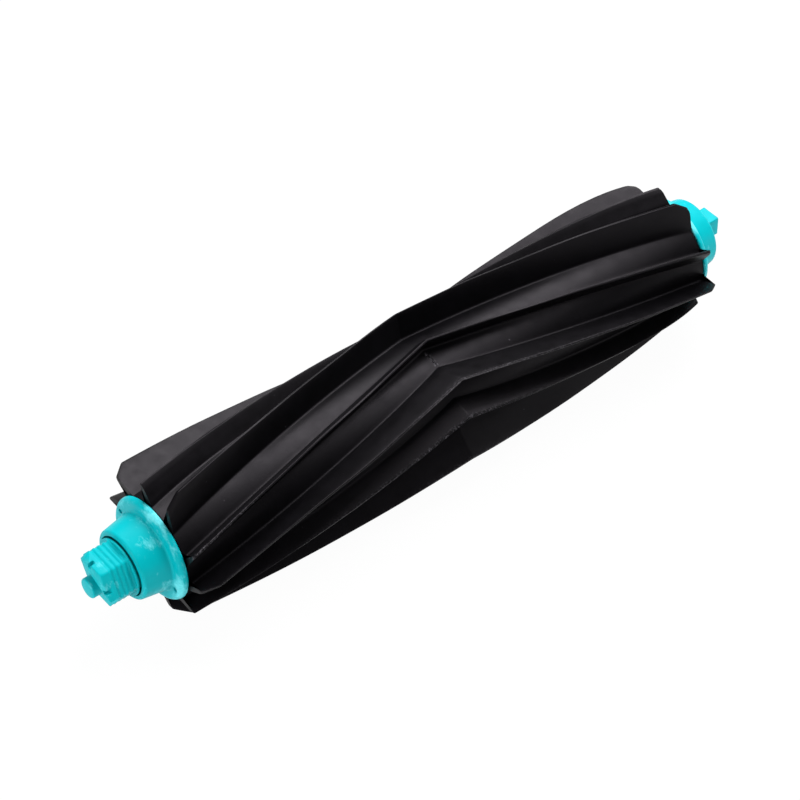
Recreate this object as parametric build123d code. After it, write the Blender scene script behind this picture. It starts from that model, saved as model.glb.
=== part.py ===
from build123d import *
import os
from math import cos, sin, radians, sqrt

# Roller brush of a robot vacuum, lying on its fins with its turning axis along X.
# The origin is on the axis, half way along the fins. Millimetres, +Z up.
# The drive end is at +X and the free-turning bearing end is at -X.

# Rubber sleeve with its V-shaped fins
fin_half_length = 82.0
fin_pairs = 5
tall_fin_radius = 21.3
short_fin_radius = 18.4
fin_lean = 8.15
fin_tip_thickness = 0.5
fin_root_thickness = 1.7
tall_fin_corner_length = 4.0
tall_fin_corner_height = 2.7
sleeve_wall = 2.15
sleeve_key_cover = 1.2

# Stiff core tube that the sleeve is pulled over
core_radius = 11.2
core_wall = 2.0
core_overhang = 0.35
core_key_count = 4
core_key_width = 2.0
core_key_height = 0.8
sleeve_clearance = 0.05

# Moulded end caps, one at each end of the core tube
flange_step = 0.4
flange_rim = 1.8
flange_rim_round = 1.45
flange_back_round = 0.25
flange_cove = 0.8
flange_mark_radius = 0.7
flange_mark_depth = 0.6
flange_mark_reach = 11.5
flange_mark_angle = 150.0
cap_plug_length = 14.0
cap_plug_wall = 2.1
cap_clearance = 0.05
cap_key_width = 1.9
cap_key_length = 7.0
cap_key_angle = 45.0
key_clearance = 0.1
hub_root_radius = 10.3
hub_tip_radius = 9.35
hub_edge = 0.9
idle_hub_length = 7.3
drive_hub_length = 6.4
drive_size = 5.6
drive_length = 6.2
drive_corner = 0.4
drive_turn = 4.3
drive_cap_floor = 3.0

# Ball bearing in the idle cap
bearing_bore = 4.0
bearing_outer = 12.0
bearing_width = 4.0
ball_count = 7
ball_diameter = 2.2
race_clearance = 0.04
land_height = 0.2
cage_gap = 0.3
cage_width = 2.0
pocket_clearance = 0.06
shield_thickness = 0.2
shield_inset = 0.1
press_clearance = 0.01
seat_lip = 1.0
seat_lip_depth = 1.2

# Snap ring, felt seal, pin and clip that hold the bearing block
ring_thickness = 0.6
ring_height = 1.0
ring_groove = 0.45
ring_gap = 2.6
groove_clearance = 0.05
seal_thickness = 0.5
seal_clearance = 0.3
mouth_depth = 3.85
mouth_wall = 1.3
spacer_wall = 1.0
clip_thickness = 0.6
clip_height = 1.6
clip_groove = 0.5
clip_opening = 2.6
pin_tail = 2.0
pin_seat = 10.1
pin_chamfer = 0.4

# Bearing block that stays still in the cleaner while the brush turns
collar_gap = 0.5
collar_clearance = 0.4
block_step = 0.3
block_radius = 7.8
block_length = 5.95
block_nose = 2.2
nose_cut_length = 2.0
nose_cut_height = 1.0
block_corner = 0.8
block_corner_angle = 129.0
block_groove_count = 4
block_groove_start = 0.9
block_groove_pitch = 1.4
block_groove_width = 0.7
block_groove_depth = 0.45
notch_width = 1.1
notch_length = 0.95
notch_depth = 1.5
notch_shift = 0.4
boss_radius = 2.9
boss_length = 3.7
boss_edge = 0.5

# Sizes that follow from the ones above, with places along the axis measured
# out from the middle
sleeve_radius = core_radius + sleeve_wall
flange_radius = sleeve_radius + flange_step
core_end = fin_half_length + core_overhang
flange_face = core_end + flange_rim
groove_place = flange_face + flange_cove / 2
idle_end = groove_place + idle_hub_length
drive_end = groove_place + drive_hub_length
core_bore_radius = core_radius - core_wall
plug_radius = core_bore_radius - cap_clearance
plug_end = core_end - cap_plug_length
plug_bore_radius = plug_radius - cap_plug_wall

mouth_radius = hub_tip_radius - mouth_wall
mouth_floor = idle_end - mouth_depth
seat_radius = bearing_outer / 2 + press_clearance
snap_ring_out = mouth_floor - groove_clearance
snap_ring_in = snap_ring_out - ring_thickness
bearing_out = snap_ring_in - groove_clearance
bearing_in = bearing_out - bearing_width
bearing_middle = (bearing_out + bearing_in) / 2
lip_end = bearing_in - seat_lip_depth
lip_radius = bearing_outer / 2 - seat_lip

ball_radius = ball_diameter / 2
race_radius = ball_radius + race_clearance
pitch_radius = (bearing_bore + bearing_outer) / 4
inner_land_radius = pitch_radius - ball_radius + land_height
outer_land_radius = pitch_radius + ball_radius - land_height

seal_out = mouth_floor + seal_thickness
collar_in = seal_out + collar_clearance
collar_radius = mouth_radius - collar_gap
block_in = idle_end + block_step
block_shelf = block_in + block_length
block_out = block_shelf + block_nose
boss_out = block_shelf + boss_length
pin_radius = bearing_bore / 2
pin_out = collar_in + pin_seat
clip_out = bearing_in - groove_clearance
clip_in = clip_out - clip_thickness
pin_in = clip_in - pin_tail


def along_x(shape, place):
    """Turns a shape drawn upwards from Z = 0 so that it runs along +X from the place."""
    return Pos(place, 0, 0) * Rot(0, 90, 0) * shape


def towards_bearing_end(shape):
    """Swaps the two ends: what was drawn at +X goes to -X, turned about the Z axis."""
    return Rot(0, 0, 180) * shape


def disc(start, end, radius):
    """A round bar along X from start to end."""
    return along_x(extrude(Circle(radius), end - start), start)


def ring(start, end, outer, inner):
    """A washer or tube along X from start to end."""
    return disc(start, end, outer) - disc(start, end, inner)


def around_axis(count, first_angle=0.0):
    """The turns about X that repeat a piece evenly around the axis."""
    return [Rot(first_angle + i * 360 / count, 0, 0) for i in range(count)]


def turned(*points):
    """A solid turned about the X axis from an outline of (x, radius) points."""
    outline = make_face(Polyline(*[(x, 0, r) for x, r in points], close=True))
    return revolve(outline, Axis.X)


def half_fin(radius, corner_length=0.0, corner_height=0.0):
    """One flat blade from the middle to the +X end, standing up along +Z.

    A fin with a corner length and height has its outer corner cut off.
    """
    root, tip = fin_root_thickness / 2, fin_tip_thickness / 2
    foot, top = core_radius / 2, radius + 1
    section = make_face(Polyline(
        (0, fin_lean - root, foot), (0, fin_lean + root, foot),
        (0, fin_lean + root, core_radius), (0, fin_lean + tip, top),
        (0, fin_lean - tip, top), (0, fin_lean - root, core_radius), close=True))
    blade = extrude(section, dir=Vector(fin_half_length, -2 * fin_lean, 0),
                    amount=sqrt(fin_half_length ** 2 + (2 * fin_lean) ** 2))
    bottom = core_radius + sleeve_key_cover / 2
    if corner_length > 0:
        envelope = turned((0, 0), (0, radius), (fin_half_length - corner_length, radius),
                          (fin_half_length, radius - corner_height), (fin_half_length, 0))
    else:
        envelope = disc(0, fin_half_length, radius)
    return (blade & envelope) - disc(-1, fin_half_length + 1, bottom)


def fin(radius, corner_length=0.0, corner_height=0.0):
    """A whole V-shaped fin: the blade and its mirror image, joined at the middle."""
    blade = half_fin(radius, corner_length, corner_height)
    return blade + mirror(blade, Plane.YZ)


def core_keys(radius, width, start, end):
    """The long keys on the core tube, or the grooves for them in the sleeve."""
    bar = Pos((start + end) / 2, 0, radius / 2) * Box(end - start, width, radius)
    return [turn * bar for turn in around_axis(core_key_count, 45)]


def fin_sleeve():
    """The rubber sleeve, moulded in one piece with all its fins."""
    bore = core_radius + sleeve_clearance
    key_radius = core_radius + core_key_height
    body = disc(-fin_half_length, fin_half_length, sleeve_radius)
    tall = fin(tall_fin_radius, tall_fin_corner_length, tall_fin_corner_height)
    short = fin(short_fin_radius)
    body = body.fuse(*[turn * tall for turn in around_axis(fin_pairs)],
                     *[turn * short for turn in around_axis(fin_pairs, 180 / fin_pairs)])
    body = body - disc(-fin_half_length, fin_half_length, bore)
    grooves = core_keys(key_radius + sleeve_clearance, core_key_width + 2 * sleeve_clearance,
                        -fin_half_length, fin_half_length)
    return body.cut(*grooves)


def core_tube():
    """The stiff tube, with long keys outside and a slot at each end for the cap keys."""
    tube = disc(-core_end, core_end, core_radius)
    keys = core_keys(core_radius + core_key_height, core_key_width,
                     -fin_half_length, fin_half_length)
    tube = tube.fuse(*keys) - disc(-core_end, core_end, core_bore_radius)
    slot = Pos(core_end - cap_key_length / 2, 0, 0) * Box(
        cap_key_length + 2 * key_clearance, cap_key_width + 2 * key_clearance, 3 * core_radius)
    slot = Rot(cap_key_angle - 45, 0, 0) * slot
    return tube.cut(slot, towards_bearing_end(slot))


def quarter_round(corner, towards_start, towards_end, size):
    """A rounded corner in the XZ plane, from one side of it to the other.

    Both sides are unit steps (x, radius) that lead away from the sharp corner.
    """
    start = (corner[0] + size * towards_start[0], 0, corner[1] + size * towards_start[1])
    end = (corner[0] + size * towards_end[0], 0, corner[1] + size * towards_end[1])
    cut = size * (1 - cos(radians(45)))
    middle = (corner[0] + cut * (towards_start[0] + towards_end[0]), 0,
              corner[1] + cut * (towards_start[1] + towards_end[1]))
    return start, ThreePointArc(start, middle, end), end


def cap_blank(hub_length):
    """What both caps share, drawn at +X: plug, keys, rounded flange, cove and hub."""
    hub_end = groove_place + hub_length
    back_start, back, back_end = quarter_round(
        (core_end, flange_radius), (0, -1), (1, 0), flange_back_round)
    rim_start, rim, rim_end = quarter_round(
        (flange_face, flange_radius), (-1, 0), (0, -1), flange_rim_round)
    cove_start, cove, cove_end = quarter_round(
        (flange_face, hub_root_radius), (0, 1), (1, 0), flange_cove)
    edge_start, edge, edge_end = quarter_round(
        (hub_end, hub_tip_radius), (-1, 0), (0, -1), hub_edge)
    outline = (Polyline((hub_end, 0, 0), (plug_end, 0, 0), (plug_end, 0, plug_radius),
                        (core_end, 0, plug_radius), back_start)
               + back + Line(back_end, rim_start) + rim + Line(rim_end, cove_start)
               + cove + Line(cove_end, edge_start) + edge + Line(edge_end, (hub_end, 0, 0)))
    blank = revolve(make_face(outline), Axis.X)
    key = Pos(core_end - cap_key_length / 2, 0, 0) * Box(
        cap_key_length, cap_key_width, 2 * (core_radius - cap_clearance))
    key = key - disc(plug_end, core_end, plug_bore_radius)
    key = Rot(cap_key_angle - 45, 0, 0) * key
    mark = disc(flange_face - flange_mark_depth, flange_face + flange_rim,
                flange_mark_radius)
    marks = [Rot(flange_mark_angle + half, 0, 0) * Pos(0, flange_mark_reach, 0) * mark
             for half in (0, 180)]
    return blank.fuse(key).cut(*marks)


def idle_cap():
    """The cap at the bearing end, with the bearing seat and the open mouth."""
    cap = cap_blank(idle_hub_length)
    cap = cap - disc(mouth_floor, idle_end, mouth_radius)
    cap = cap - disc(bearing_in, mouth_floor, seat_radius)
    cap = cap - disc(snap_ring_in - groove_clearance, snap_ring_out + groove_clearance,
                     seat_radius + ring_groove)
    cap = cap - disc(lip_end, bearing_in, lip_radius)
    cap = cap - disc(plug_end, lip_end, plug_bore_radius)
    return towards_bearing_end(cap)


def drive_cap():
    """The cap at the drive end, with the square that the gearbox turns."""
    cap = cap_blank(drive_hub_length)
    square = extrude(RectangleRounded(drive_size, drive_size, drive_corner),
                     drive_length + hub_edge)
    cap = cap + Rot(drive_turn, 0, 0) * along_x(square, drive_end - hub_edge)
    return cap - disc(plug_end, drive_end - drive_cap_floor, plug_bore_radius)


def race_groove(radius):
    """The rounded track that the balls run in."""
    return Pos(bearing_middle, 0, 0) * Rot(0, 90, 0) * Torus(pitch_radius, radius)


def bearing_outer_ring():
    body = ring(bearing_in, bearing_out, bearing_outer / 2, outer_land_radius)
    return towards_bearing_end(body - race_groove(race_radius))


def bearing_inner_ring():
    bore = pin_radius + press_clearance
    body = ring(bearing_in, bearing_out, inner_land_radius, bore)
    return towards_bearing_end(body - race_groove(race_radius))


def ball_places():
    """The centres of the balls, evenly spaced on the pitch circle."""
    return [turn * Pos(bearing_middle, 0, pitch_radius) for turn in around_axis(ball_count)]


def bearing_ball(index):
    """One of the balls, counted around from the top one."""
    return towards_bearing_end(ball_places()[index] * Sphere(ball_radius))


def bearing_cage():
    """The moulded cage that keeps the balls apart."""
    half = cage_width / 2
    body = ring(bearing_middle - half, bearing_middle + half,
                outer_land_radius - cage_gap, inner_land_radius + cage_gap)
    pockets = [place * Sphere(ball_radius + pocket_clearance) for place in ball_places()]
    return towards_bearing_end(body.cut(*pockets))


def bearing_shield(face):
    """A thin steel cover pressed into the outer ring beside the balls."""
    start = face - shield_thickness / 2
    return towards_bearing_end(ring(start, start + shield_thickness,
                                    outer_land_radius - press_clearance,
                                    inner_land_radius + cage_gap))


def split_ring(start, end, outer, inner, opening):
    """A snap ring: a washer with a gap at its top."""
    gap = Pos((start + end) / 2, 0, outer) * Box(2 * (end - start), opening, 2 * inner)
    return ring(start, end, outer, inner) - gap


def snap_ring():
    """The split ring that holds the bearing in its seat."""
    outer = seat_radius + ring_groove - groove_clearance
    return towards_bearing_end(
        split_ring(snap_ring_in, snap_ring_out, outer, seat_radius - ring_height, ring_gap))


def dust_seal():
    """The felt washer on the floor of the mouth."""
    inner = pin_radius + spacer_wall + seal_clearance
    return towards_bearing_end(
        ring(mouth_floor, seal_out, mouth_radius - cap_clearance, inner))


def axle_pin():
    """The steel pin, pressed in the bearing block and running in the bearing."""
    pin = disc(pin_in, pin_out, pin_radius)
    pin = chamfer(pin.edges().filter_by(GeomType.CIRCLE), pin_chamfer)
    pin = pin - ring(clip_in - groove_clearance, clip_out + groove_clearance,
                     pin_radius + 1, pin_radius - clip_groove)
    return towards_bearing_end(pin)


def pin_clip():
    """The open clip that sits in the pin's groove behind the bearing."""
    inner = pin_radius - clip_groove + groove_clearance
    return towards_bearing_end(
        split_ring(clip_in, clip_out, pin_radius + clip_height, inner, clip_opening))


def spacer_sleeve():
    """The short sleeve between the bearing block and the inner ring."""
    return towards_bearing_end(
        ring(bearing_out, collar_in, pin_radius + spacer_wall, pin_radius + press_clearance))


def corner_point(index, radius=block_radius):
    """A corner of the six-sided block as (y, z), counted around from the top one."""
    angle = radians(block_corner_angle + 60 * index)
    return radius * cos(angle), radius * sin(angle)


def six_sided(start, end, radius, rounding=0.0):
    """A six-sided bar along -X between two distances from the middle."""
    points = [(-start, *corner_point(i, radius)) for i in range(6)]
    bar = extrude(make_face(Polyline(*points, close=True)), amount=end - start,
                  dir=Vector(-1, 0, 0))
    if rounding > 0:
        bar = fillet(bar.edges().filter_by(Axis.X), rounding)
    return bar


def nose_cut():
    """The wedge that takes off the nose's upper front corner, with the corner at 0."""
    across = Rot(block_corner_angle - 60, 0, 0)
    wedge = extrude(make_face(Polyline((-1, 1, 0), (nose_cut_length, 1, 0),
                                       (nose_cut_length, 0, 0), (0, -nose_cut_height, 0),
                                       (-1, -nose_cut_height, 0), close=True)),
                    2 * block_radius, both=True)
    return across * wedge


def bearing_block():
    """The ribbed six-sided block with its round collar, raised nose and centre boss."""
    block = six_sided(block_in, block_shelf, block_radius, block_corner)
    nose_points = [corner_point(-1), corner_point(0), corner_point(1),
                   corner_point(1, boss_radius)]
    nose = extrude(make_face(Polyline(*[(-block_shelf, y, z) for y, z in nose_points],
                                      close=True)),
                   amount=block_nose, dir=Vector(-1, 0, 0))
    nose = nose & six_sided(block_shelf - 1, block_out, block_radius, block_corner)
    cut = Pos(-block_out, *corner_point(-1)) * nose_cut()
    block = block + (nose - cut)
    collar = disc(-block_in, -collar_in, collar_radius)
    boss = disc(-boss_out, -block_shelf, boss_radius)
    boss = fillet(boss.edges().filter_by(GeomType.CIRCLE).sort_by(Axis.X)[0], boss_edge)
    block = block + collar + boss
    for i in range(block_groove_count):
        start = block_in + block_groove_start + i * block_groove_pitch
        around = six_sided(start, start + block_groove_width, block_radius + 1)
        core = six_sided(start, start + block_groove_width, block_radius - block_groove_depth,
                         block_corner)
        block = block - (around - core)
    flat_distance = block_radius * cos(radians(30))
    for side in (-1, 1):
        notch = Pos(-block_out, -side * notch_shift, flat_distance) * Box(
            2 * notch_length, notch_width, 2 * notch_depth)
        block = block - Rot(block_corner_angle - 90 + 30 * side, 0, 0) * notch
    return block - disc(-pin_out - groove_clearance, -collar_in, pin_radius + press_clearance)


nodes = {
    "fin_sleeve": fin_sleeve(),
    "core_tube": core_tube(),
    "idle_cap": idle_cap(),
    "drive_cap": drive_cap(),
    "bearing_outer_ring": bearing_outer_ring(),
    "bearing_inner_ring": bearing_inner_ring(),
    "bearing_cage": bearing_cage(),
    "outboard_shield": bearing_shield(bearing_out - shield_inset - shield_thickness / 2),
    "inboard_shield": bearing_shield(bearing_in + shield_inset + shield_thickness / 2),
    "snap_ring": snap_ring(),
    "dust_seal": dust_seal(),
    "axle_pin": axle_pin(),
    "spacer_sleeve": spacer_sleeve(),
    "pin_clip": pin_clip(),
    "bearing_block": bearing_block(),
}
for index in range(ball_count):
    nodes[f"bearing_ball_{index + 1}"] = bearing_ball(index)

os.makedirs("parts", exist_ok=True)
for name, shape in nodes.items():
    export_step(shape, f"parts/{name}.step")
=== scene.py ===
from math import atan2, cos, hypot, pi, radians, sin, sqrt, tan

import bpy
from mathutils import Matrix, Quaternion, Vector


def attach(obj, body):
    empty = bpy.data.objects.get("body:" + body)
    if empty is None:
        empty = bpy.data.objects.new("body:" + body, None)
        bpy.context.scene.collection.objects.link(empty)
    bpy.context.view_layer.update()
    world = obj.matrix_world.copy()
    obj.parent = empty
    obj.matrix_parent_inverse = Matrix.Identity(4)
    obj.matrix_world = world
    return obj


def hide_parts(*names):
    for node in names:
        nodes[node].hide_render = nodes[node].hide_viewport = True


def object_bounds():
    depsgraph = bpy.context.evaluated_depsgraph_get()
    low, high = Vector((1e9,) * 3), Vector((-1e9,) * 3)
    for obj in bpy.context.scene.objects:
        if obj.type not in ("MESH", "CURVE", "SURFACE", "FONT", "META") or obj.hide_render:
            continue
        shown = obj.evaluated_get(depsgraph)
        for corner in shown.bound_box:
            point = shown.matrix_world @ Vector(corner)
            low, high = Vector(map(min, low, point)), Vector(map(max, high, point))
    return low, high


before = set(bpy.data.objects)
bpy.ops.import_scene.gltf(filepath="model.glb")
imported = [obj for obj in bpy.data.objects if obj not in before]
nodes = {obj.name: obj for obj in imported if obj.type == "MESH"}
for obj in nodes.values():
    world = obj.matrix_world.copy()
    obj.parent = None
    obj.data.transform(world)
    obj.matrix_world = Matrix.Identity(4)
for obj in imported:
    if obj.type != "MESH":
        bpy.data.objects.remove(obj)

cad_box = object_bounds()
bpy.ops.object.select_all(action="DESELECT")

# Camera
# A long lens, held a little tilted, looks down on the bearing end of the brush
# from the front left. The brush runs away from it to the upper right.
look_at = Vector((-0.0056, 0.0021, -0.0015))
distance = 0.826
azimuth, elevation, roll = radians(-36.41), radians(41.52), radians(-4.32)
back = Vector((sin(azimuth) * cos(elevation), -cos(azimuth) * cos(elevation), sin(elevation)))
bpy.ops.object.camera_add(location=look_at + back * distance)
camera = bpy.context.object
camera.name = "Camera"
camera.rotation_mode = "QUATERNION"
camera.rotation_quaternion = (-back).to_track_quat("-Z", "Y") @ Quaternion((0, 0, 1), roll)
camera.data.lens = 150.55
camera.data.sensor_width = 36.0
bpy.context.scene.camera = camera

# Soft lamps and the room
# A wide soft box hangs over the brush and a bit to the right of it, among three
# small ones. One more stands at the left, and a pale room fills the shadows.
def soft_box(name, place, aim, size, radiance):
    """A square lamp that faces the aim and looks as bright as the radiance."""
    turn = (Vector(aim) - Vector(place)).to_track_quat("-Z", "Y").to_euler()
    bpy.ops.object.light_add(type="AREA", location=place, rotation=turn)
    lamp = bpy.context.object
    lamp.name = name
    lamp.data.size = size
    lamp.data.energy = radiance * pi * size * size


soft_box("Key_box", (0.34, 0.06, 0.70), (0, 0.01, 0), 0.60, 8.6)
soft_box("Right_back_box", (0.45, 0.30, 0.60), (0, 0, 0), 0.40, 3.8)
soft_box("Right_front_box", (0.44, -0.40, 0.62), (0, 0, 0), 0.44, 3.0)
soft_box("Back_box", (0, 0.45, 0.65), (0, 0, 0), 0.40, 3.9)
soft_box("Left_box", (-0.80, -0.05, 0.28), (-0.08, 0, 0), 0.40, 8.5)


def linear(colour):
    """A hex colour as it is read on a screen, turned to linear light."""
    parts = [int(colour[i:i + 2], 16) / 255 for i in (1, 3, 5)]
    return (*[p / 12.92 if p <= 0.04045 else ((p + 0.055) / 1.055) ** 2.4 for p in parts], 1.0)


def add_node(tree, kind, links=None, values=None, **settings):
    """Adds a node, sets what it is, fills its inputs and links other nodes to it."""
    made = tree.nodes.new(kind)
    for name, value in settings.items():
        setattr(made, name, value)
    for name, value in (values or {}).items():
        made.inputs[name].default_value = value
    for name, output in (links or {}).items():
        tree.links.new(output, made.inputs[name])
    return made


def empty_material(name):
    """A new material with nothing in it yet but its output node."""
    made = bpy.data.materials.new(name)
    made.use_nodes = True
    made.node_tree.nodes.clear()
    return made, made.node_tree


world = bpy.data.worlds.new("Pale_room")
bpy.context.scene.world = world
world.use_nodes = True
room = world.node_tree
room.nodes.clear()
room_light = add_node(room, "ShaderNodeBackground",
                      values={"Color": linear("#f4f6f8"), "Strength": 0.20})
add_node(room, "ShaderNodeOutputWorld", links={"Surface": room_light.outputs[0]})

# Floor
# A white sheet of photo card under the brush. It looks white to the camera and in
# reflections, and keeps a faint shadow where the brush stands.
floor_height = cad_box[0].z - 0.0002
bpy.ops.mesh.primitive_plane_add(size=6.0, location=(0, 0, floor_height))
floor = bpy.context.object
floor.name = "Floor"
card, tree = empty_material("White_photo_card")
card_paint = add_node(tree, "ShaderNodeBsdfDiffuse", values={"Color": linear("#f2f2f2")})
card_white = add_node(tree, "ShaderNodeEmission", values={"Color": (1, 1, 1, 1), "Strength": 1.0})
path = add_node(tree, "ShaderNodeLightPath")
seen_direct = add_node(tree, "ShaderNodeMath", operation="MAXIMUM",
                       links={0: path.outputs["Is Camera Ray"], 1: path.outputs["Is Glossy Ray"]})
seen = add_node(tree, "ShaderNodeMath", operation="MAXIMUM",
                links={0: seen_direct.outputs[0], 1: path.outputs["Is Transmission Ray"]})
share = add_node(tree, "ShaderNodeMath", operation="MULTIPLY", values={1: 0.97},
                 links={0: seen.outputs[0]})
mixed = add_node(tree, "ShaderNodeMixShader",
                 links={0: share.outputs[0], 1: card_paint.outputs[0], 2: card_white.outputs[0]})
add_node(tree, "ShaderNodeOutputMaterial", links={"Surface": mixed.outputs[0]})
floor.data.materials.append(card)

# Core tube
# The stiff tube down the middle of the brush, moulded in black glass-filled
# nylon. It is hidden by the rubber, apart from a thin line beside each cap.
core_plastic, tree = empty_material("Glass_filled_nylon")
# Glass fibres near the skin leave a fine grain that spreads its gloss.
where = add_node(tree, "ShaderNodeTexCoord")
fibres = add_node(tree, "ShaderNodeTexNoise", values={"Scale": 2500.0, "Detail": 3.0},
                  links={"Vector": where.outputs["Object"]})
grain = add_node(tree, "ShaderNodeBump", values={"Strength": 0.15, "Distance": 0.0001},
                 links={"Height": fibres.outputs["Fac"]})
shine = add_node(tree, "ShaderNodeMapRange", values={"To Min": 0.45, "To Max": 0.62},
                 links={"Value": fibres.outputs["Fac"]})
body = add_node(tree, "ShaderNodeBsdfPrincipled", values={"Base Color": linear("#161617")},
                links={"Roughness": shine.outputs[0], "Normal": grain.outputs[0]})
add_node(tree, "ShaderNodeOutputMaterial", links={"Surface": body.outputs[0]})
nodes["core_tube"].material_slots[0].material = core_plastic

# Fin sleeve
# The black rubber sleeve with five tall and five short V-shaped fins, moulded in
# one piece in a two-part mould that meets half way along. It is pulled over the
# core tube. The soft fins have each taken their own slight lean.
sleeve_end = 0.082
tube_radius = 0.01335
bore_radius = 0.01125
tall_radius = 0.0213
short_radius = 0.0184
fin_shift = 0.00815
root_half, tip_half = 0.00085, 0.00025
root_height = 0.0112
root_fillet = 0.0006
tip_round = 0.00022
cut_radius, cut_slope = 0.0186, 0.675
droop_length, droop_before_cut = 0.030, 0.6
dip_lengths = 0.045, 0.018
wave_height, long_wave, short_wave, short_share = 0.00010, 95, 230, 0.6
wear_depth = 0.0006
corner_rounds = 0.0004, 0.0005
lip_height, lip_half_width, lip_after = 0.00020, 0.00028, 1
fillet_steps, side_steps, tip_steps, tube_steps = 5, 8, 4, 10

# How each fin leans, in degrees at seven even steps along it, how far it droops
# at its two ends and at its kink, in millimetres, and how worn its tip is.
fin_leans = [
    (-4.0, -2.0, -1.8, -5.2, -4.2, -4.8, -2.0),
    (5.0, 3.4, 3.2, 0.8, 3.0, 3.8, 4.0),
    (-4.0, -6.0, -0.5, 1.5, -0.5, -1.2, -4.0),
    (0.0, 5.0, 6.0, 0.0, -2.0, -2.0, -4.0),
    (0.0, -2.0, -2.0, -3.0, 3.0, 6.0, 3.0),
    (2.0, -1.0, -2.5, 0.5, 1.5, -1.0, 0.0),
    (-1.0, 1.5, 2.0, -1.5, 0.0, 2.0, 1.0),
    (3.0, 1.0, -1.0, 1.5, 2.0, -1.5, 0.5),
    (0.0, 3.5, 5.8, 4.0, 9.0, 2.0, 0.0),
    (5.0, 0.0, -3.0, -4.0, -0.5, 0.0, -3.0)]
fin_droops = [(0.3, 0.1, 0.75), (0.0, 0.4, 0.0), (0.3, 0.7, 0.1), (0.0, 1.6, 0.0),
              (0.0, 0.4, 0.1), (0.1, 0.3, 0.0), (0.3, 0.1, 0.15), (0.1, 0.0, 0.0),
              (0.3, 3.2, 0.0), (0.0, 0.7, 0.0)]
fin_wear = [
    (0.0, 0.0, 0.0, 0.1, 0.0, 0.0, 0.0), (0.8, 0.0, 0.0, 0.1, 0.0, 0.0, 0.1),
    (0.1, 0.0, 0.1, 0.3, 0.3, 0.1, 0.0), (0.1, 0.1, 0.4, 0.5, 0.1, 0.0, 0.0),
    (0.1, 0.0, 0.1, 0.2, 0.0, 0.0, 0.1), (0.0, 0.1, 0.0, 0.2, 0.1, 0.0, 0.0),
    (0.1, 0.0, 0.0, 0.2, 0.0, 0.1, 0.0), (0.0, 0.0, 0.1, 0.1, 0.0, 0.0, 0.2),
    (0.0, 0.0, 0.0, 0.1, 0.0, 0.0, 0.0), (0.0, 0.0, 0.1, 0.1, 0.0, 0.0, 0.0)]

stations = [0.0, lip_half_width, 0.0008, 0.0020]
stations += [0.004 * i for i in range(1, 19)]
stations += [sleeve_end - step for step in (0.0070, 0.0055, 0.0046, 0.0040, 0.0034, 0.0028,
                                            0.0022, 0.0016, 0.0010, 0.0005, 0.0002, 0)]
stations = sorted({round(x, 6) for x in stations})
stations = [-x for x in reversed(stations[1:])] + stations


def blend_along(values, x):
    """A value at x out of even steps along the sleeve, with soft changes between."""
    place = (x / sleeve_end + 1) / 2 * (len(values) - 1)
    step = min(int(place), len(values) - 2)
    share = place - step
    share = share * share * (3 - 2 * share)
    return values[step] + (values[step + 1] - values[step]) * share


def fin_half_section(x, number, side):
    """One side of a fin at x, from its foot on the tube to the middle of its tip.

    The points are (sideways, upwards, wear) in the fin's own frame. The side is 1
    for the side that comes first going round, and -1 for the other one.
    """
    is_tall = number % 2 == 0
    full = tall_radius if is_tall else short_radius
    from_end = sleeve_end - abs(x)
    at_end = 0.001 * fin_droops[number][0 if x < 0 else 1]
    at_kink = 0.001 * fin_droops[number][2]
    droop = at_end * max(0.0, 1 - from_end / droop_length) ** 3
    top = full - droop_before_cut * droop
    if is_tall:
        top = min(top, cut_radius + cut_slope * from_end)
    top -= (1 - droop_before_cut) * droop
    top -= at_kink * max(0.0, 1 - abs(x) / dip_lengths[0 if x < 0 else 1])
    corner_round = corner_rounds[0 if x < 0 else 1]
    near = max(0.0, 1 - from_end / corner_round)
    top -= corner_round * (1 - sqrt(1 - near ** 2))
    middle = fin_shift * (1 - 2 * abs(x) / sleeve_end)
    slope = (root_half - tip_half) / (full + 0.001 - root_height)

    def half_width(height):
        return root_half - slope * (height - root_height)

    foot_side = side * middle + half_width(tube_radius) + root_fillet
    foot_height = sqrt((tube_radius + root_fillet) ** 2 - foot_side ** 2)
    start = atan2(-foot_height, -foot_side)
    points = []
    for i in range(fillet_steps + 1):
        a = start + (-pi - start) * i / fillet_steps
        points.append((foot_side + root_fillet * cos(a), foot_height + root_fillet * sin(a)))
    tip_side = side * middle + half_width(top)
    tip_height = sqrt(top ** 2 - tip_side ** 2)
    edge = min(tip_round, half_width(top) * 0.96, (tip_height - foot_height) / 4)
    for i in range(1, side_steps):
        height = foot_height + (tip_height - edge - foot_height) * i / side_steps
        points.append((side * middle + half_width(height), height))
    for i in range(tip_steps + 1):
        a = pi / 2 * i / tip_steps
        points.append((tip_side - edge + edge * cos(a), tip_height - edge + edge * sin(a)))
    root = sqrt(max(tube_radius ** 2 - middle ** 2, 0))
    swing = tan(radians(blend_along(fin_leans[number], x)))
    wave = wave_height * (sin(x * long_wave + number * 2.1)
                          + short_share * sin(x * short_wave + number))
    wear_and_seam_highlight = blend_along(fin_wear[number], x)
    bent = []
    for across, height in points:
        up = max(0.0, height - root)
        share = up / (full - root)
        wear_and_highlight = wear_and_seam_highlight * max(0.0, 1 - (tip_height - height) / wear_depth)
        bent.append((side * across - swing * up * min(1, share * 3) - wave * share ** 2,
                     height, wear_and_highlight))
    return bent


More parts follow.
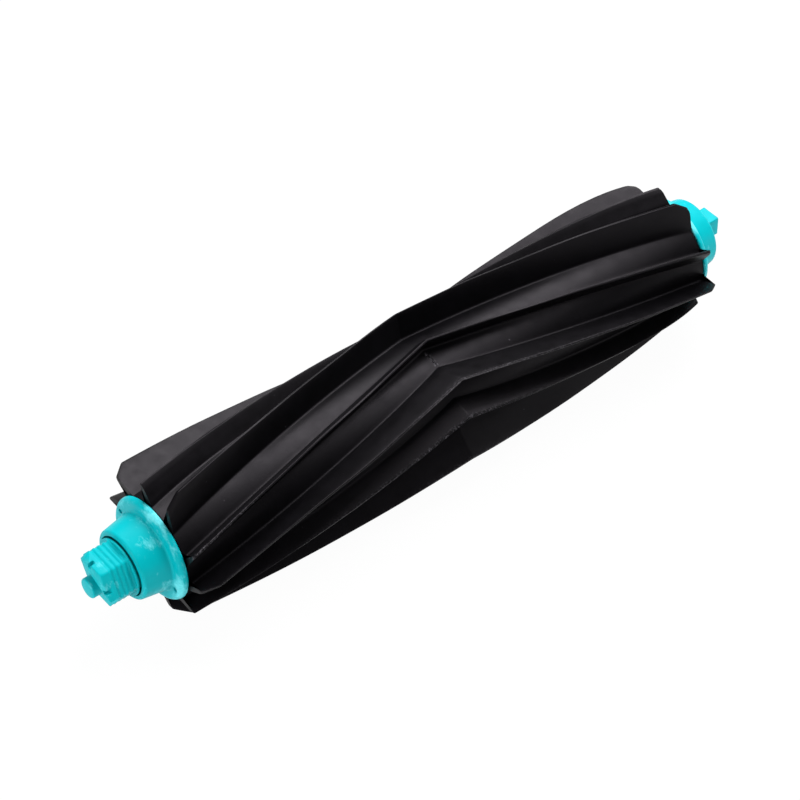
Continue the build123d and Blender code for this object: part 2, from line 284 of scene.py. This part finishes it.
def sleeve_section(x):
    """All the points round the sleeve's outside at x, as (y, z, pale). Pale is the tip wear, and
    on the seam ridge it is a painted highlight.
    """
    around = []
    for number in range(10):
        turn = radians(36 * number)
        first = fin_half_section(x, number, 1)
        second = fin_half_section(x, number, -1)
        points = first + second[::-1]
        around.append([(y * cos(turn) - z * sin(turn), y * sin(turn) + z * cos(turn), wear_and_highlight)
                       for y, z, wear_and_highlight in points])
    loop = []
    for number, points in enumerate(around):
        loop += points
        following = around[(number + 1) % 10]
        leave, arrive = Vector(points[-1][:2]), Vector(following[0][:2])
        gap = leave.angle(arrive)
        # On the seam ridge beside fin 1 the third value is 0.9, which paints the ridge pale: a
        # painted highlight along the seam.
        on_lip = number == lip_after and abs(x) <= lip_half_width
        tube = tube_radius + (lip_height if on_lip and x == 0 else 0)
        for i in range(1, tube_steps):
            on_tube = Matrix.Rotation(gap * i / tube_steps, 2) @ leave.normalized() * tube
            loop.append((*on_tube, 0.9 if on_lip else 0.0))
    return loop


sections = [sleeve_section(x) for x in stations]
round_count = len(sections[0])
bore = [(bore_radius * y / hypot(y, z), bore_radius * z / hypot(y, z), 0.0)
        for y, z, wear_and_highlight in sections[0]]
loops = [(stations[0], bore)] + list(zip(stations, sections)) + [(stations[-1], bore)]
loops.append(loops[0])
bpy.ops.mesh.primitive_grid_add(x_subdivisions=len(loops) - 1, y_subdivisions=round_count,
                                size=0.1)
sleeve = bpy.context.object
sleeve.name = "Finned_rubber_sleeve"
places, wear_and_highlight_values = [], []
for row in range(round_count + 1):
    for x, loop in loops:
        y, z, wear_and_highlight = loop[row % round_count]
        places += [x, y, z]
        wear_and_highlight_values.append(wear_and_highlight)
sleeve.data.vertices.foreach_set("co", places)
wear_and_highlight_layer = sleeve.data.attributes.new("tip_wear_and_seam_highlight", "FLOAT", "POINT")
wear_and_highlight_layer.data.foreach_set("value", wear_and_highlight_values)
bpy.ops.object.mode_set(mode="EDIT")
bpy.ops.mesh.select_all(action="SELECT")
bpy.ops.mesh.remove_doubles(threshold=1e-7)
bpy.ops.mesh.normals_make_consistent(inside=False)
bpy.ops.object.mode_set(mode="OBJECT")
bpy.ops.object.shade_smooth_by_angle(angle=radians(24))

rubber, tree = empty_material("Moulded_black_rubber")
# Carbon-filled rubber: nearly black, with a broad, dull and faintly violet gloss.
# The mould's skin is a little mottled. Worn tips are torn into pale crumbs about
# 0.4 mm wide, and a few dust specks lie about. The same pale crumbs are painted
# along the seam ridge beside fin 1 as a painted highlight.
where = add_node(tree, "ShaderNodeTexCoord")
mottle = add_node(tree, "ShaderNodeTexNoise",
                  values={"Scale": 260.0, "Detail": 5.0, "Roughness": 0.6},
                  links={"Vector": where.outputs["Object"]})
shade = add_node(tree, "ShaderNodeMix", data_type="RGBA",
                 values={"A": linear("#040404"), "B": linear("#09080b")},
                 links={"Factor": mottle.outputs["Fac"]})
dust = add_node(tree, "ShaderNodeTexNoise", values={"Scale": 700.0, "Detail": 2.0},
                links={"Vector": where.outputs["Object"]})
specks = add_node(tree, "ShaderNodeMapRange",
                  values={"From Min": 0.77, "From Max": 0.83, "To Min": 0.0, "To Max": 0.4},
                  links={"Value": dust.outputs["Fac"]})
wear_and_seam_highlight = add_node(tree, "ShaderNodeAttribute", attribute_name="tip_wear_and_seam_highlight")
crumbs = add_node(tree, "ShaderNodeTexNoise",
                  values={"Scale": 1900.0, "Detail": 3.0, "Roughness": 0.7},
                  links={"Vector": where.outputs["Object"]})
torn = add_node(tree, "ShaderNodeMapRange",
                values={"From Min": 0.50, "From Max": 0.68, "To Min": 0.0, "To Max": 0.8},
                links={"Value": crumbs.outputs["Fac"]})
worn_tips_and_seam_highlight = add_node(tree, "ShaderNodeMath", operation="MULTIPLY",
                links={0: torn.outputs[0], 1: wear_and_seam_highlight.outputs["Fac"]})
pale = add_node(tree, "ShaderNodeMath", operation="MAXIMUM",
                links={0: worn_tips_and_seam_highlight.outputs[0], 1: specks.outputs[0]})
dust_wear_and_highlight = add_node(tree, "ShaderNodeMix", data_type="RGBA", values={"B": linear("#747177")},
                 links={"Factor": pale.outputs[0], "A": shade.outputs["Result"]})
gloss = add_node(tree, "ShaderNodeMapRange",
                 values={"From Min": 0.3, "From Max": 0.7, "To Min": 0.38, "To Max": 0.50},
                 links={"Value": mottle.outputs["Fac"]})
skin = add_node(tree, "ShaderNodeTexNoise", values={"Scale": 1400.0, "Detail": 3.0},
                links={"Vector": where.outputs["Object"]})
relief = add_node(tree, "ShaderNodeBump", values={"Strength": 0.12, "Distance": 0.0001},
                  links={"Height": skin.outputs["Fac"]})
body = add_node(tree, "ShaderNodeBsdfPrincipled",
                values={"Specular IOR Level": 0.135, "IOR": 1.5},
                links={"Base Color": dust_wear_and_highlight.outputs["Result"], "Roughness": gloss.outputs[0],
                       "Normal": relief.outputs[0]})
body.inputs["Specular Tint"].default_value = linear("#f6edf8")
add_node(tree, "ShaderNodeOutputMaterial", links={"Surface": body.outputs[0]})
sleeve.data.materials.append(rubber)
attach(sleeve, "roller")
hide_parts("fin_sleeve")

# End caps
# Two moulded caps in turquoise nylon, each with a rounded flange against the
# rubber and a tapered hub. Their edges carry pale scuffs from handling, and the
# same pale paint along the flange rims is partly a painted highlight.
cap_plastic, tree = empty_material("Turquoise_moulded_nylon")
# Moulded nylon has a satin skin. Scuffs are paler and duller than the rest. The
# pale paint is thickest along the flange rims and at a few spots on the flanges,
# the hub and the nose, where it is partly real scuffs and partly painted highlight.
where = add_node(tree, "ShaderNodeTexCoord")
rub = add_node(tree, "ShaderNodeMapping", values={"Scale": (1.0, 0.45, 0.45)},
               links={"Vector": where.outputs["Object"]})
wear_and_highlight = add_node(tree, "ShaderNodeTexNoise",
                values={"Scale": 420.0, "Detail": 7.0, "Roughness": 0.7},
                links={"Vector": rub.outputs[0]})
across = add_node(tree, "ShaderNodeMapping", values={"Scale": (0.0, 1.0, 1.0)},
                  links={"Vector": where.outputs["Object"]})
reach = add_node(tree, "ShaderNodeVectorMath", operation="LENGTH", links={0: across.outputs[0]})
# Paler towards the flange rims: partly wear, partly a painted highlight band along the rim.
rim_wear_and_highlight = add_node(tree, "ShaderNodeMapRange",
               values={"From Min": 0.0105, "From Max": 0.0130, "To Min": 0.0, "To Max": 0.10},
               links={"Value": reach.outputs["Value"]})
rubbed_and_lit = add_node(tree, "ShaderNodeMath", operation="ADD",
                  links={0: wear_and_highlight.outputs["Fac"], 1: rim_wear_and_highlight.outputs[0]}).outputs[0]
# Pale spots on the flanges, the hub and the nose edge: partly rubbed scuffs, partly painted
# highlight.
for spot, reach in (((-0.083, -0.0023, 0.0128), 0.007), ((-0.087, -0.0058, 0.0082), 0.0045),
                    ((-0.083, -0.0120, -0.0056), 0.007), ((-0.087, -0.0094, -0.0034), 0.004),
                    ((-0.101, -0.0030, 0.0030), 0.004), ((0.083, -0.0060, 0.0120), 0.006)):
    away = add_node(tree, "ShaderNodeVectorMath", operation="DISTANCE", values={1: spot},
                    links={0: where.outputs["Object"]})
    near = add_node(tree, "ShaderNodeMapRange", interpolation_type="SMOOTHSTEP",
                    values={"From Min": reach * 0.2, "From Max": reach,
                            "To Min": 0.13, "To Max": 0.0},
                    links={"Value": away.outputs["Value"]})
    rubbed_and_lit = add_node(tree, "ShaderNodeMath", operation="ADD",
                      links={0: rubbed_and_lit, 1: near.outputs[0]}).outputs[0]
scuffs_and_highlights = add_node(tree, "ShaderNodeMapRange",
                  values={"From Min": 0.60, "From Max": 0.78, "To Min": 0.0, "To Max": 0.75},
                  links={"Value": rubbed_and_lit})
cloud = add_node(tree, "ShaderNodeTexNoise", values={"Scale": 120.0, "Detail": 2.0},
                 links={"Vector": where.outputs["Object"]})
base = add_node(tree, "ShaderNodeMix", data_type="RGBA",
                values={"A": linear("#009ca5"), "B": linear("#00a7ae")},
                links={"Factor": cloud.outputs["Fac"]})
paint = add_node(tree, "ShaderNodeMix", data_type="RGBA", values={"B": linear("#6fd3da")},
                 links={"Factor": scuffs_and_highlights.outputs[0], "A": base.outputs["Result"]})
gloss = add_node(tree, "ShaderNodeMapRange", values={"To Min": 0.38, "To Max": 0.6},
                 links={"Value": scuffs_and_highlights.outputs[0]})
grain = add_node(tree, "ShaderNodeTexNoise", values={"Scale": 3000.0, "Detail": 2.0},
                 links={"Vector": where.outputs["Object"]})
relief = add_node(tree, "ShaderNodeBump", values={"Strength": 0.08, "Distance": 0.0001},
                  links={"Height": grain.outputs["Fac"]})
body = add_node(tree, "ShaderNodeBsdfPrincipled", values={"IOR": 1.53, "Specular IOR Level": 0.06},
                links={"Base Color": paint.outputs["Result"], "Roughness": gloss.outputs[0],
                       "Normal": relief.outputs[0]})
add_node(tree, "ShaderNodeOutputMaterial", links={"Surface": body.outputs[0]})
for name in ("idle_cap", "drive_cap"):
    nodes[name].material_slots[0].material = cap_plastic

# Bearing block
# A turquoise moulding that plugs into the cleaner and stays still while the brush
# turns. A round collar on a narrow neck carries its six-sided body with soft ribs.
# A raised nose with two notches and a round boss key it to the cleaner. Along the
# axis, places are measured from the middle of the brush towards this end.
neck_in, collar_in, collar_out = 0.0889, 0.0922, 0.0927
neck_radius, collar_radius = 0.0066, 0.0077
hex_radius, hex_rounding, hex_turn = 0.0078, 0.0009, 129.0
shelf, nose_front = 0.0981, 0.1006
groove_count, first_groove, groove_pitch, groove_depth = 4, 0.0934, 0.0014, 0.00036
groove_sharpness, rib_steps = 1.3, 10
nose_edge, edge_share, nose_shrink, nose_tilt, nose_low = 0.0004, 0.3, 0.955, 31.0, 0.0032
boss_radius, boss_front, boss_low, boss_edge = 0.00265, 0.1018, 0.0009, 0.0004
corner_cut_place, corner_cut_angle = 0.0060, 36.0
notch_place, notch_size = 0.1001, (0.0019, 0.0011, 0.0030)
notch_flats = (9, 0.0004), (69, -0.0009)
bore_end, pin_bore = 0.09905, 0.00201
end_wall_radius, end_wall_front = 0.00245, 0.0994
buried, cutter_size = 0.002, 0.02
collar_edge, edge_bevel = 0.0002, 0.00012


def combine(piece, other, operation):
    """Adds another solid to the piece or cuts it away, and drops the other one."""
    bpy.ops.object.select_all(action="DESELECT")
    bpy.context.view_layer.objects.active = piece
    piece.select_set(True)
    bpy.ops.object.modifier_add(type="BOOLEAN")
    change = piece.modifiers[-1]
    change.operation, change.object, change.solver = operation, other, "EXACT"
    bpy.ops.object.modifier_apply(modifier=change.name)
    bpy.data.objects.remove(other, do_unlink=True)


def round_bar(start, end, radius, centre_z=0.0, edge=0.0):
    """A round bar along the axis, with its outer edge rounded if that is asked for."""
    bpy.ops.mesh.primitive_cylinder_add(vertices=72, radius=radius, depth=end - start,
                                        location=(-(start + end) / 2, 0, centre_z),
                                        rotation=(0, pi / 2, 0))
    bpy.ops.object.transform_apply(location=True, rotation=True, scale=True)
    bar = bpy.context.object
    if edge:
        bpy.ops.object.mode_set(mode="EDIT")
        bpy.ops.mesh.select_all(action="DESELECT")
        bpy.ops.object.mode_set(mode="OBJECT")
        for line in bar.data.edges:
            line.select = all(bar.data.vertices[v].co.x < -end + 1e-6 for v in line.vertices)
        bpy.ops.object.mode_set(mode="EDIT")
        bpy.ops.mesh.bevel(offset=edge, segments=4)
        bpy.ops.object.mode_set(mode="OBJECT")
    return bar


bpy.ops.object.select_all(action="DESELECT")
bpy.ops.mesh.primitive_circle_add(vertices=42, radius=hex_radius, fill_type="NGON",
                                  location=(0, 0, 0))
block = bpy.context.object
block.name = "Ribbed_bearing_block"
arc_centre = hex_radius - hex_rounding / cos(radians(30))
outline_place = (collar_in + collar_out) / 2
for i, point in enumerate(block.data.vertices):
    corner = radians(hex_turn + 60 * (i // 7))
    a = corner + radians(-30 + 10 * (i % 7))
    point.co = (-outline_place, arc_centre * cos(corner) + hex_rounding * cos(a),
                arc_centre * sin(corner) + hex_rounding * sin(a))
flat_distance = hex_radius * cos(radians(30))
places = [first_groove + groove_pitch * (i / rib_steps - 0.5)
          for i in range(groove_count * rib_steps + 1)]
rings = []
for place in places:
    dip = (0.5 + 0.5 * cos(2 * pi * (place - first_groove) / groove_pitch)) ** groove_sharpness
    rings.append((place, 1 - dip * groove_depth / hex_radius))
rings += [(nose_front - nose_edge, 1.0),
          (nose_front - nose_edge * edge_share, 1 - (1 - nose_shrink) * edge_share),
          (nose_front, nose_shrink)]
bpy.ops.object.mode_set(mode="EDIT")
bpy.ops.mesh.select_all(action="SELECT")
place_now, size_now = outline_place, 1.0
for place, size in rings:
    bpy.ops.mesh.extrude_region_move(TRANSFORM_OT_translate={"value": (place_now - place, 0, 0)})
    grow = size / size_now
    bpy.ops.transform.resize(value=(1, grow, grow), center_override=(0, 0, 0))
    place_now, size_now = place, size
bpy.ops.mesh.select_all(action="SELECT")
bpy.ops.mesh.normals_make_consistent(inside=False)
corner, slant = radians(hex_turn - 60), radians(corner_cut_angle)
bpy.ops.mesh.bisect(
    plane_co=(-nose_front, corner_cut_place * cos(corner), corner_cut_place * sin(corner)),
    plane_no=(-sin(slant), cos(slant) * cos(corner), cos(slant) * sin(corner)),
    use_fill=True, clear_outer=True)
bpy.ops.object.mode_set(mode="OBJECT")

# The nose is the part in front of the shelf and above its lower edge.
bpy.ops.mesh.primitive_cube_add(size=cutter_size)
below = bpy.context.object
below.data.transform(Matrix.Translation((-shelf - cutter_size / 2, 0, nose_low - cutter_size / 2)))
below.data.transform(Matrix.Rotation(radians(nose_tilt), 4, "X"))
combine(block, below, "DIFFERENCE")
# Each notch sits on one flat of the nose, shifted a little along it.
for flat, shift in notch_flats:
    bpy.ops.mesh.primitive_cube_add(size=1.0)
    notch = bpy.context.object
    notch.data.transform(Matrix.Diagonal((*notch_size, 1)))
    notch.data.transform(Matrix.Translation((-notch_place, shift, flat_distance)))
    notch.data.transform(Matrix.Rotation(radians(flat), 4, "X"))
    combine(block, notch, "DIFFERENCE")
# The boss sits below the axis, so a short end wall closes the bore of the pin.
boss = round_bar(shelf - buried, boss_front, boss_radius, -boss_low, boss_edge)
combine(block, boss, "UNION")
combine(block, round_bar(shelf - buried, end_wall_front, end_wall_radius), "UNION")
combine(block, round_bar(collar_in, collar_out, collar_radius, edge=collar_edge), "UNION")
combine(block, round_bar(neck_in, collar_out, neck_radius), "UNION")
combine(block, round_bar(neck_in - 0.001, bore_end, pin_bore), "DIFFERENCE")
bpy.ops.object.select_all(action="DESELECT")
bpy.context.view_layer.objects.active = block
block.select_set(True)
bpy.ops.object.mode_set(mode="EDIT")
bpy.ops.mesh.select_all(action="SELECT")
bpy.ops.mesh.remove_doubles(threshold=2e-6)
bpy.ops.mesh.normals_make_consistent(inside=False)
bpy.ops.object.mode_set(mode="OBJECT")
bpy.ops.object.modifier_add(type="BEVEL")
soft_edges = block.modifiers[-1]
soft_edges.width, soft_edges.segments = edge_bevel, 2
soft_edges.limit_method, soft_edges.angle_limit = "ANGLE", radians(38)
bpy.ops.object.modifier_apply(modifier=soft_edges.name)
bpy.ops.object.shade_smooth_by_angle(angle=radians(35))
block.data.materials.append(cap_plastic)
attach(block, "end_block")
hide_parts("bearing_block")

# Ball bearing and steel pieces
# A small sealed ball bearing with ground rings, polished balls, a nylon cage and
# two thin pressed shields, held by spring-steel rings on a ground steel pin.
def steel(name, colour, roughness, scale, strength):
    """Steel with fine tool marks that run round the axis."""
    made, tree = empty_material(name)
    where = add_node(tree, "ShaderNodeTexCoord")
    along = add_node(tree, "ShaderNodeMapping", values={"Scale": (1.0, 0.05, 0.05)},
                     links={"Vector": where.outputs["Object"]})
    marks = add_node(tree, "ShaderNodeTexNoise", values={"Scale": scale, "Detail": 4.0},
                     links={"Vector": along.outputs[0]})
    relief = add_node(tree, "ShaderNodeBump", values={"Strength": strength, "Distance": 0.00002},
                      links={"Height": marks.outputs["Fac"]})
    gloss = add_node(tree, "ShaderNodeMapRange",
                     values={"To Min": roughness * 0.8, "To Max": roughness * 1.3},
                     links={"Value": marks.outputs["Fac"]})
    body = add_node(tree, "ShaderNodeBsdfPrincipled",
                    values={"Base Color": linear(colour), "Metallic": 1.0},
                    links={"Roughness": gloss.outputs[0], "Normal": relief.outputs[0]})
    add_node(tree, "ShaderNodeOutputMaterial", links={"Surface": body.outputs[0]})
    return made


ground_steel = steel("Ground_bearing_steel", "#c9c8c6", 0.24, 6000.0, 0.3)
polished_steel = steel("Polished_ball_steel", "#d6d5d3", 0.08, 4000.0, 0.05)
spring_steel = steel("Oiled_spring_steel", "#6e6a66", 0.38, 5000.0, 0.3)
for name in ("bearing_outer_ring", "bearing_inner_ring", "axle_pin", "spacer_sleeve",
             "outboard_shield", "inboard_shield"):
    nodes[name].material_slots[0].material = ground_steel
for number in range(7):
    nodes[f"bearing_ball_{number + 1}"].material_slots[0].material = polished_steel
for name in ("snap_ring", "pin_clip"):
    nodes[name].material_slots[0].material = spring_steel

cage_nylon, tree = empty_material("Natural_cage_nylon")
# Unfilled nylon is a milky cream that lets a little light in.
where = add_node(tree, "ShaderNodeTexCoord")
cloud = add_node(tree, "ShaderNodeTexNoise", values={"Scale": 900.0, "Detail": 2.0},
                 links={"Vector": where.outputs["Object"]})
milk = add_node(tree, "ShaderNodeMix", data_type="RGBA",
                values={"A": linear("#d8cfb8"), "B": linear("#e6dfcc")},
                links={"Factor": cloud.outputs["Fac"]})
body = add_node(tree, "ShaderNodeBsdfPrincipled", values={"Roughness": 0.42},
                links={"Base Color": milk.outputs["Result"]})
add_node(tree, "ShaderNodeOutputMaterial", links={"Surface": body.outputs[0]})
nodes["bearing_cage"].material_slots[0].material = cage_nylon

# Dust seal
# A felt washer punched from pressed grey wool, laid on the floor of the mouth.
seal_felt, tree = empty_material("Pressed_grey_felt")
# Matted hairs, drawn about 0.15 mm thick so that they show.
where = add_node(tree, "ShaderNodeTexCoord")
hairs = add_node(tree, "ShaderNodeTexNoise",
                 values={"Scale": 3500.0, "Detail": 5.0, "Distortion": 2.0},
                 links={"Vector": where.outputs["Object"]})
wool = add_node(tree, "ShaderNodeMix", data_type="RGBA",
                values={"A": linear("#3c3c3e"), "B": linear("#77777a")},
                links={"Factor": hairs.outputs["Fac"]})
relief = add_node(tree, "ShaderNodeBump", values={"Strength": 0.7, "Distance": 0.0002},
                  links={"Height": hairs.outputs["Fac"]})
body = add_node(tree, "ShaderNodeBsdfPrincipled", values={"Roughness": 0.95},
                links={"Base Color": wool.outputs["Result"], "Normal": relief.outputs[0]})
add_node(tree, "ShaderNodeOutputMaterial", links={"Surface": body.outputs[0]})
nodes["dust_seal"].material_slots[0].material = seal_felt

bpy.context.scene.view_settings.view_transform = "Standard"
